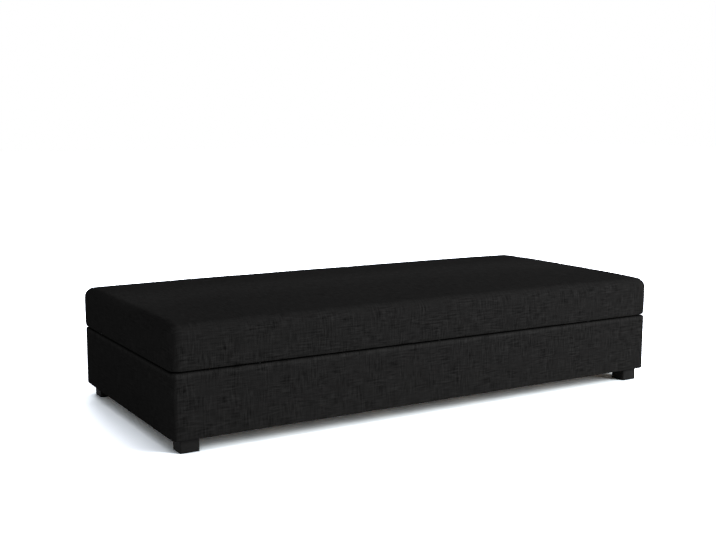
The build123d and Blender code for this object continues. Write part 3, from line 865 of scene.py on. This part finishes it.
@dataclass
class TopCover:
    """The cover of the top section, crowned and swelled over springs and foam."""

    edge_radius: float = 30 * MM
    edge_steps: int = 7
    corner_radius: float = 34 * MM
    hem: float = 23 * MM
    hem_radius: float = 3 * MM
    crown: float = 6 * MM
    long_crown: float = 4.5 * MM
    crown_power: int = 4
    dip: float = 5 * MM
    dip_place: float = 170 * MM
    dip_width: float = 100 * MM
    settling: tuple[Ripple, ...] = (Ripple(0.5 * MM, 220 * MM, 3.0), Ripple(0.25 * MM, 90 * MM, 7.0))
    swell: float = 5 * MM
    bulge: float = 3 * MM
    wall_start: float = 12 * MM
    wall_ripple: Ripple = Ripple(0.7 * MM, 120 * MM, 5.0)
    ripple_start: float = 30 * MM
    ripple_full: float = 60 * MM
    flat_share: float = 0.8
    # Painted sheen: a paler band along the middle of the flat top, with its strength, place and reach.
    rub_and_sheen: float = 0.75
    sheen_place: float = 60 * MM
    sheen_reach: float = 170 * MM
    box: tuple[Vector, Vector] = field(default_factory=lambda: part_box("top_cover"))

    def edge_z(self) -> float:
        """Gives the height at which the crown starts, over the long sides."""
        return self.box[1].z - self.crown

    def rise(self, place: Vector) -> float:
        """Says how far the springs and foam lift a point of the flat top.

        Args:
            place: A point of the cover.

        Returns:
            The rise, which is negative in the dip inside the edges.
        """
        high = self.box[1]
        inward = min(high.x - abs(place.x), high.y - abs(place.y))
        away = (inward - self.dip_place) / self.dip_width
        crowned = self.crown * (1 - (place.y / high.y) ** self.crown_power)
        crowned += self.long_crown * (1 - (place.x / high.x) ** self.crown_power)
        return crowned - self.dip * math.exp(-away * away) + sum(r.at(place) for r in self.settling)

    def soften(self, place: Vector) -> Vector:
        """Moves a point of the cover as the padding under it settles and swells.

        Args:
            place: A point of the cover.

        Returns:
            The move.
        """
        low, high = self.box
        lifted = eased(place.z, self.edge_z() - self.edge_radius, self.edge_z())
        bulge = self.bulge * eased(place.z, low.z, low.z + self.wall_start)
        rippled = eased(place.z, low.z + self.ripple_start, low.z + self.ripple_full)
        push = (1 - lifted) * (bulge + rippled * self.wall_ripple.at(place))
        outwards = Vector((0, 0, 0))
        for axis in (0, 1):
            past_arc = abs(place[axis]) - (high[axis] - self.corner_radius)
            outwards[axis] = math.copysign(max(0.0, past_arc), place[axis])
        outwards.normalize()
        return Vector((0, 0, lifted * self.rise(place))) + push * outwards

    def lying(self, place: Vector) -> float:
        """Says how far a point is on the flat top, from 0 on the walls to 1."""
        return eased(place.z, self.edge_z() - self.flat_share * self.edge_radius, self.edge_z())

    def sheen_share(self, place: Vector) -> float:
        """Says how much a painted sheen lightens the cloth, in a band along the middle of the flat top."""
        away = (place.y - self.sheen_place) / self.sheen_reach
        return self.rub_and_sheen * math.exp(-away * away) * self.lying(place)

    def build(self) -> None:
        """Makes the cover: rounded along its top edges, padded out and turned in under the rails."""
        low, high = self.box
        top = (high.x, high.y, self.edge_z())
        shell = ClothShell("top_cover_cloth", low, top, self.corner_radius, self.hem, self.hem_radius)
        cloth = shell.piece
        with editing(cloth):
            round_edges(at_level(self.edge_z()), self.edge_radius, self.edge_steps)
            shell.turn_in(low.z)
            shell.slice_all(low.z + self.wall_start, self.edge_z() - self.edge_radius)
        shell.lay()
        # Paints a sheen into the weave's colour, in a band along the middle of the top.
        shell.mark(shell.SHEEN_MARK, self.sheen_share)
        shell.mark(shell.SMOOTH, lambda place: max(self.lying(place), shell.at_end(place)))
        shell.inflate(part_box("top_front_rail")[1].z, self.swell)
        shell.finish(self.soften)
        settle(cloth, BLACK_WEAVE, Body.TOP, ["top_cover"])


@dataclass
class TopFilling:
    """What the top section's cover holds: foam and felt over a timber and spring frame."""

    cover: TopCover
    gap: float = 0.3 * MM
    foam_steps: int = 5
    foam_edge_steps: int = 4
    foam_inset: float = 40 * MM
    foam_cells: tuple[float, float] = (100 * MM, 50 * MM)
    dip_share: float = 0.3
    strip_corner: float = 20 * MM
    strip_corner_radius: float = 28 * MM
    strip_corner_steps: int = 5
    strip_edge_radius: float = 1.5 * MM
    strip_reach: float = 900 * MM
    strip_cell: float = 150 * MM
    sharp: float = 1.0
    felt_corner_radius: float = 12 * MM
    felt_corner_steps: int = 3
    felt_inset: float = 20 * MM
    felt_cells: tuple[float, float] = (40 * MM, 40 * MM)
    felt_ripple: Ripple = Ripple(0.12, 60 * MM, 2.0)

    def foam(self) -> None:
        """Makes the foam that lies over felt and springs, crowned like the cover."""
        cover = self.cover
        low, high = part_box("top_foam")
        inset = cover.box[1].x - high.x
        edge_z = high.z - cover.crown
        pad = add_block("top_foam_pad", low, (high.x, high.y, edge_z))
        with editing(pad):
            round_edges(upright, cover.corner_radius - inset, self.foam_steps)
            round_edges(at_level(edge_z), cover.edge_radius - 2 * inset, self.foam_edge_steps)
            slice_flat(low, high, self.foam_inset, self.foam_cells)
        for vertex in pad.data.vertices:
            inward = 1 - (vertex.co.y / high.y) ** 2
            if vertex.co.z > low.z + self.gap:
                vertex.co.z += cover.crown * inward - cover.dip * eased(inward, 0.0, self.dip_share)
                vertex.co.z += cover.long_crown * (1 - (vertex.co.x / high.x) ** cover.crown_power)
        smooth(pad)
        settle(pad, PALE_FOAM, Body.TOP, ["top_foam"])

    def edge_strips(self) -> None:
        """Makes the four firm foam strips that stand on the rails round the springs."""
        low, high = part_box("edge_foam")
        width = high.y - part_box("spring_felt")[1].y - self.gap
        end_y = high.y - width - self.gap
        strips = []
        for sign in (-1, 1):
            near, far = sorted((sign * (high.y - width), sign * high.y))
            strips.append(add_block("strip", (low.x, near, low.z), (high.x, far, high.z)))
            near, far = sorted((sign * (high.x - width), sign * high.x))
            strips.append(add_block("strip", (near, -end_y, low.z), (far, end_y, high.z)))
        pad = join(strips, "edge_foam_strips")

        def outer(edge: Any) -> bool:
            """Says whether an edge is one of the four outer corners."""
            inward = [high[axis] - abs(edge.verts[0].co[axis]) for axis in (0, 1)]
            return upright(edge) and max(inward) < self.strip_corner

        def inner(edge: Any) -> bool:
            """Says whether an edge is a straight edge of a strip, away from the round corners."""
            return len(edge.link_faces) == 2 and edge.calc_face_angle(0.0) > self.sharp

        with editing(pad):
            round_edges(outer, self.strip_corner_radius, self.strip_corner_steps)
            round_edges(inner, self.strip_edge_radius, 2)
            slice_mesh(0, -self.strip_reach, self.strip_reach, self.strip_cell)
        smooth(pad)
        settle(pad, PALE_FOAM, Body.TOP, ["edge_foam"])

    def felt(self) -> None:
        """Makes the felt sheet that lies on the wire grid."""
        low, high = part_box("spring_felt")
        sheet = add_block("spring_felt_sheet", low, high)
        size = high - low
        with editing(sheet):
            round_edges(upright, self.felt_corner_radius, self.felt_corner_steps)
            slice_flat(low, high, self.felt_inset, self.felt_cells)
        for vertex in sheet.data.vertices:
            if vertex.co.z > low.z + size.z / 2:
                vertex.co.z -= size.z * (self.felt_ripple.depth + self.felt_ripple.at(vertex.co))
        smooth(sheet)
        settle(sheet, GREY_FELT, Body.TOP, ["spring_felt"])

    def frame_nodes(self) -> None:
        """Gives the CAD timber, wire and metal of the top section their finishes."""
        dress_nodes(PINE_X, "top_front_rail", "top_rear_rail")
        dress_nodes(PINE_Y, "top_left_rail", "top_right_rail", "slats")
        dress_nodes(HARDBOARD, "underside_panel")
        dress_nodes(SPRING_WIRE, "coil_springs_front", "coil_springs_rear", "border_wire", "grid_wires")
        dress_nodes(ZINC, "top_frame_screws")

    def build(self) -> None:
        """Makes every piece under the cover."""
        self.foam()
        self.edge_strips()
        self.felt()
        self.frame_nodes()


def dress_nodes(finish: Finish, *nodes: str) -> None:
    """Puts a finish on CAD nodes.

    Args:
        finish: The finish.
        nodes: The nodes' names.
    """
    for name in nodes:
        finish.dress(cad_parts[name])
    LOG.info("%s: %s", finish.name, ", ".join(nodes))


@dataclass
class StorageBox:
    """The lower part: a timber box with a floor, in a cloth cover."""

    corner_radius: float = 20 * MM
    hem: float = 22.5 * MM
    hem_radius: float = 4 * MM
    wall_start: float = 15 * MM
    fold_start: float = 6 * MM
    fold_cell: float = 4.5 * MM
    tight_reach: float = 2 * MM
    loose_reach: float = 8 * MM
    puckers: Ripple = Ripple(0.9 * MM, 55 * MM, 4.0)
    pucker_fall: float = 35 * MM
    swell: Ripple = Ripple(0.6 * MM, 200 * MM, 6.0)
    side_share: float = 0.51
    # Painted highlight: a paler line just below the cover's top edge, with its drop, reach and core.
    sheen_drop: float = 8 * MM
    sheen_reach: float = 7 * MM
    sheen_core: float = 0.3
    box: tuple[Vector, Vector] = field(default_factory=lambda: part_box("base_cover"))

    def soften(self, place: Vector) -> Vector:
        """Moves a point of the cover, which puckers a little beside its pulled-in hems.

        Args:
            place: A point of the cover.

        Returns:
            The move.
        """
        low, high = self.box
        from_hem = min(high.z - place.z, place.z - low.z)
        on_wall = eased(from_hem, self.tight_reach, self.loose_reach)
        pull = math.exp(-from_hem / self.pucker_fall) * self.puckers.at(place) + self.swell.at(place)
        # Only places in the outermost 2% of the length or width round to a side
        side = Vector([round(self.side_share * place[axis] / high[axis]) for axis in (0, 1)] + [0])
        return on_wall * pull * side

    def sheen_share(self, place: Vector) -> float:
        """Says how much a painted highlight lightens the cloth, in a line along the boards' top edge."""
        from_fold = abs(self.box[1].z - self.sheen_drop - place.z)
        return 1 - eased(from_fold, self.sheen_core * self.sheen_reach, self.sheen_reach)

    def cover(self) -> None:
        """Makes the cover, pulled round the four sides and turned in above and below."""
        low, high = self.box
        shell = ClothShell("base_cover_cloth", low, high, self.corner_radius, self.hem, self.hem_radius)
        cloth = shell.piece
        wall_end = high.z - self.wall_start
        with editing(cloth):
            shell.turn_in(high.z)
            shell.turn_in(low.z)
            shell.slice_all(low.z + self.wall_start, wall_end)
            slice_mesh(2, wall_end, high.z - self.fold_start, self.fold_cell)
        shell.lay()
        # Paints a highlight into the weave's colour, in a line just below the top edge.
        shell.mark(shell.SHEEN_MARK, self.sheen_share)
        shell.mark(shell.SMOOTH, shell.at_end)
        shell.finish(self.soften)
        settle(cloth, BLACK_WEAVE, Body.BASE, ["base_cover"])

    def frame_nodes(self) -> None:
        """Gives the CAD timber, floor and fixings of the box their finishes."""
        dress_nodes(PINE_X, "base_front_board", "base_rear_board", "floor_ledgers")
        dress_nodes(PINE_Y, "base_left_board", "base_right_board", "floor_bearers", "foot_blocks")
        dress_nodes(PINE_Z, "corner_posts")
        dress_nodes(HARDBOARD, "floor_panel")
        dress_nodes(BLACK_RUBBER, "lid_buffers")
        dress_nodes(ZINC, "frame_screws", "foot_tee_nuts", "foot_studs")

    def build(self) -> None:
        """Makes every piece of the box."""
        self.cover()
        self.frame_nodes()


@dataclass
class BlockFeet:
    """Four moulded block feet, modelled once and copied."""

    corner_radius: float = 4 * MM
    rim_radius: float = 1.6 * MM
    sole_height: float = 4 * MM
    sole_step: float = 0.6 * MM
    groove: float = 0.5 * MM
    corner_steps: int = 4
    rim_steps: int = 3
    smooth_angle: float = 35.0
    names: tuple[str, ...] = ("foot_front_left", "foot_front_right", "foot_rear_left", "foot_rear_right")

    def first(self) -> Piece:
        """Makes the front left foot: a block with soft edges, on a slightly smaller sole."""
        low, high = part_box(self.names[0])
        foot = add_block("foot", low, high)
        sole_z = low.z + self.sole_height

        def below_step(face: Any) -> bool:
            """Says whether a face is part of the sole's wall."""
            return face.calc_center_median().z < sole_z and is_wall(face)

        with editing(foot):
            round_edges(upright, self.corner_radius, self.corner_steps)
            slice_mesh(2, sole_z, sole_z, self.sole_height)
            round_edges(at_level(sole_z), self.groove, 1)
            pick(Part.FACE, below_step)
            bpy.ops.mesh.extrude_region_shrink_fatten(
                TRANSFORM_OT_shrink_fatten={"value": -self.sole_step}
            )
            for rim in (high.z, low.z):
                round_edges(at_level(rim), self.rim_radius, self.rim_steps)
        smooth(foot, self.smooth_angle)
        return foot

    def build(self) -> None:
        """Makes the four feet."""
        first = self.first()
        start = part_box(self.names[0])[0]
        for name in self.names:
            foot = copied(first)
            rename(foot, f"{name}_block")
            activate(foot)
            bpy.ops.transform.translate(value=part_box(name)[0] - start)
            bpy.ops.object.transform_apply(location=True, rotation=True, scale=True)
            settle(foot, BLACK_PLASTIC, Body.BASE, [name])
        bpy.data.objects.remove(first)


@dataclass
class HemStaples:
    """The wire staples that hold the hems under the two covers to the timber."""

    crown: float = 10 * MM
    wire: float = 1.2 * MM
    height: float = 0.8 * MM
    leg: float = 2.5 * MM
    pitch: float = 55 * MM
    inset: float = 13 * MM
    clearance: float = 14 * MM
    edge_share: float = 0.3
    tilts: Ripple = Ripple(0.16, 30 * MM, 8.0)
    pads: str = "lid_buffers"
    plates: tuple[str, ...] = ("leaf", "lid_bracket")

    def first(self) -> Piece:
        """Makes one staple at the origin, with its back upwards and its legs in the cloth."""
        half, wire = self.crown / 2, self.wire / 2
        staple = add_block("staple", (-half, -wire, 0.0), (half, wire, self.height))

        def over_leg(face: Any) -> bool:
            """Says whether a face is one of the two that the legs grow from."""
            at_side = abs(face.calc_center_median().x) > half - self.wire
            return at_side and face.normal.z < 0 and not is_wall(face)

        with editing(staple):
            slice_mesh(0, -half + self.wire, half - self.wire, self.crown)
            pick(Part.FACE, over_leg)
            bpy.ops.mesh.extrude_region_move(TRANSFORM_OT_translate={"value": (0, 0, -self.leg)})
            round_edges(at_level(self.height), self.edge_share * self.height, 1)
        return staple

    def is_clear(self, place: Vector) -> bool:
        """Says whether no hinge, bracket or buffer is in the way of a staple.

        Args:
            place: The staple's place.

        Returns:
            Whether it can be there.
        """
        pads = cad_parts[self.pads].data.vertices
        if any((vertex.co - place).xy.length < self.clearance for vertex in pads):
            return False
        room = self.clearance / 2
        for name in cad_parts:
            if any(word in name for word in self.plates):
                low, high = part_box(name)
                if all(low[axis] - room < place[axis] < high[axis] + room for axis in (0, 1)):
                    return False
        return True

    def ring(self, name: str, cover: str, body: Body) -> None:
        """Makes the staples of the hem under a cover, with their backs downwards.

        Args:
            name: The piece's name.
            cover: The cover's CAD node.
            body: The body that the cover rides on.
        """
        first = self.first()
        low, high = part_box(cover)
        half = (high.x - self.inset, high.y - self.inset)
        staples = []
        for axis, sign in ((0, -1), (0, 1), (1, -1), (1, 1)):
            count = round(2 * half[axis] / self.pitch)
            for i in range(1, count):
                place = Vector((0, 0, low.z))
                place[axis] = half[axis] * (2 * i / count - 1)
                place[1 - axis] = sign * half[1 - axis]
                if self.is_clear(place):
                    tilt = self.tilts.at(place) + axis * math.pi / 2
                    turn = Matrix.Rotation(tilt, 4, "Z") @ Matrix.Rotation(math.pi, 4, "X")
                    staple = copied(first)
                    staple.data.transform(Matrix.Translation(place) @ turn)
                    staples.append(staple)
        bpy.data.objects.remove(first)
        settle(join(staples, name), ZINC, body)

    def build(self) -> None:
        """Makes the two rings of staples: under the box, and under the top section."""
        self.ring("box_underside_staples", "base_cover", Body.BASE)
        self.ring("top_underside_staples", "top_cover", Body.TOP)


@dataclass
class HingesAndStruts:
    """The hinges along the rear edge and the two gas struts, all carried over from the CAD."""

    hinges: tuple[str, ...] = ("left", "centre", "right")

    def build(self) -> None:
        """Gives hinges, brackets and struts their finishes."""
        for place in self.hinges:
            dress_nodes(ZINC, f"hinge_base_leaf_{place}", f"hinge_lid_leaf_{place}")
        dress_nodes(ZINC, "hinge_pins", "hinge_base_screws", "hinge_lid_screws")
        dress_nodes(BLACK_ZINC, "strut_base_screws", "strut_lid_screws")
        for side in Side:
            end = side.value
            dress_nodes(POWDER_COAT, f"strut_base_bracket_{end}", f"strut_lid_bracket_{end}")
            eyes = (f"strut_lower_eye_{end}", f"strut_upper_eye_{end}")
            dress_nodes(BLACK_ENAMEL, f"strut_cylinder_{end}", *eyes)
            dress_nodes(CHROME, f"strut_rod_{end}", f"strut_piston_{end}")
            dress_nodes(BLACK_PLASTIC, f"strut_gland_{end}")


@dataclass
class Studio:
    """A pale floor, plain soft light and the camera at the photograph's angle."""

    camera_place: Point = (-2.149, -3.473, 1.032)
    camera_aim: Point = (-0.0718, 0.0, 0.4619)
    camera_lean: float = 0.0022
    lens: float = 53.92
    sensor: float = 36.0
    floor_size: float = 60.0
    floor_bounce: float = 0.7
    floor_white: Colour = (4.9, 5.05, 5.4)
    floor_shaded: Colour = (4.5, 5.05, 5.3)
    contact_reach: float = 0.15
    contact_share: float = 0.935
    ambient: float = 0.33
    ambient_colour: Colour = (0.985, 0.99, 1.0)
    background: Colour = (1.0, 1.0, 1.0)
    lamp_aim: Point = (0.0, 0.0, 0.3)
    lamp_size: float = 3.0
    key_place: Point = (4.3, -5.3, 2.9)
    key_power: float = 485.0
    fill_place: Point = (1.0, 6.2, 1.5)
    fill_power: float = 190.0

    @staticmethod
    def hang(data: Any, place: Point, aim: Point, lean: float = 0.0) -> Piece:
        """Adds a lamp or a camera that looks at a point.

        Args:
            data: The lamp or camera.
            place: Where it is.
            aim: The point.
            lean: How far it leans over sideways, in radians.

        Returns:
            The object that holds it.
        """
        holder = bpy.data.objects.new(data.name, data)
        bpy.context.scene.collection.objects.link(holder)
        level = (Vector(aim) - Vector(place)).to_track_quat("-Z", "Y")
        holder.location = place
        holder.rotation_euler = (level @ Quaternion((0.0, 0.0, 1.0), lean)).to_euler()
        return holder

    def camera(self) -> None:
        """Makes the camera."""
        made = bpy.data.cameras.new("camera")
        set_all(made, lens=self.lens, sensor_width=self.sensor)
        holder = self.hang(made, self.camera_place, self.camera_aim, self.camera_lean)
        bpy.context.scene.camera = holder

    def lamp(self, name: str, place: Point, power: float) -> None:
        """Adds a soft square lamp that looks at the bed.

        Args:
            name: Its name.
            place: Where it hangs.
            power: Its power in watts.
        """
        light = bpy.data.lights.new(name, "AREA")
        set_all(light, size=self.lamp_size, energy=power)
        self.hang(light, place, self.lamp_aim)

    def seen(self, graph: Graph) -> Value:
        """Marks the rays that see the white background: the camera's, and those off gloss or glass.

        Args:
            graph: The graph that asks.

        Returns:
            1 on those rays and 0 on the others.
        """
        path = graph.node("ShaderNodeLightPath")
        kinds = ("Is Camera Ray", "Is Glossy Ray", "Is Transmission Ray")
        camera, glossy, passing = (Value(graph, path.outputs[kind]) for kind in kinds)
        return (camera + glossy + passing).at_most(1.0)

    def world(self) -> None:
        """Lights the scene evenly, and shows white to the camera and to glossy surfaces."""
        world = bpy.data.worlds.new("studio")
        bpy.context.scene.world = world
        graph = Graph(world)
        seen = self.seen(graph)
        soft, white = (
            graph.node("ShaderNodeBackground", None, {"Color": (*colour, 1.0), "Strength": strength})
            for colour, strength in ((self.ambient_colour, self.ambient), (self.background, 1.0))
        )
        inputs = {0: seen, 1: soft.outputs[0], 2: white.outputs[0]}
        graph.show(graph.node("ShaderNodeMixShader", None, inputs))

    def floor(self) -> None:
        """Makes the floor, which shows white to the camera and darkens in the bed's contact shadow."""
        deselect_all()
        bpy.ops.mesh.primitive_grid_add(x_subdivisions=8, y_subdivisions=8, size=self.floor_size)
        floor = bpy.context.object
        floor.name = "studio_floor"
        material = bpy.data.materials.new("studio_floor")
        graph = Graph(material)
        seen = self.seen(graph)
        inputs = {"Distance": self.contact_reach}
        open_share = graph.number("ShaderNodeAmbientOcclusion", None, inputs, "AO")
        tone = open_share * self.contact_share + (1 - self.contact_share)
        white = graph.tint(graph.blend(open_share, self.floor_shaded, self.floor_white), tone)
        colour = graph.blend(seen, (self.floor_bounce,) * 3, white)
        graph.show(graph.node("ShaderNodeBsdfDiffuse", None, {"Color": colour}))
        floor.data.materials.append(material)

    def build(self) -> None:
        """Makes camera, lights, world and floor."""
        self.camera()
        self.world()
        self.lamp("key", self.key_place, self.key_power)
        self.lamp("fill", self.fill_place, self.fill_power)
        self.floor()
        bpy.context.scene.view_settings.view_transform = "Standard"


def main() -> None:
    """Builds the bed and its studio, piece by piece."""
    logging.basicConfig(level=logging.INFO, format="%(name)s: %(message)s")
    Studio().build()
    StorageBox().build()
    BlockFeet().build()
    cover = TopCover()
    cover.build()
    TopFilling(cover).build()
    HemStaples().build()
    HingesAndStruts().build()


if __name__ == "__main__":
    main()
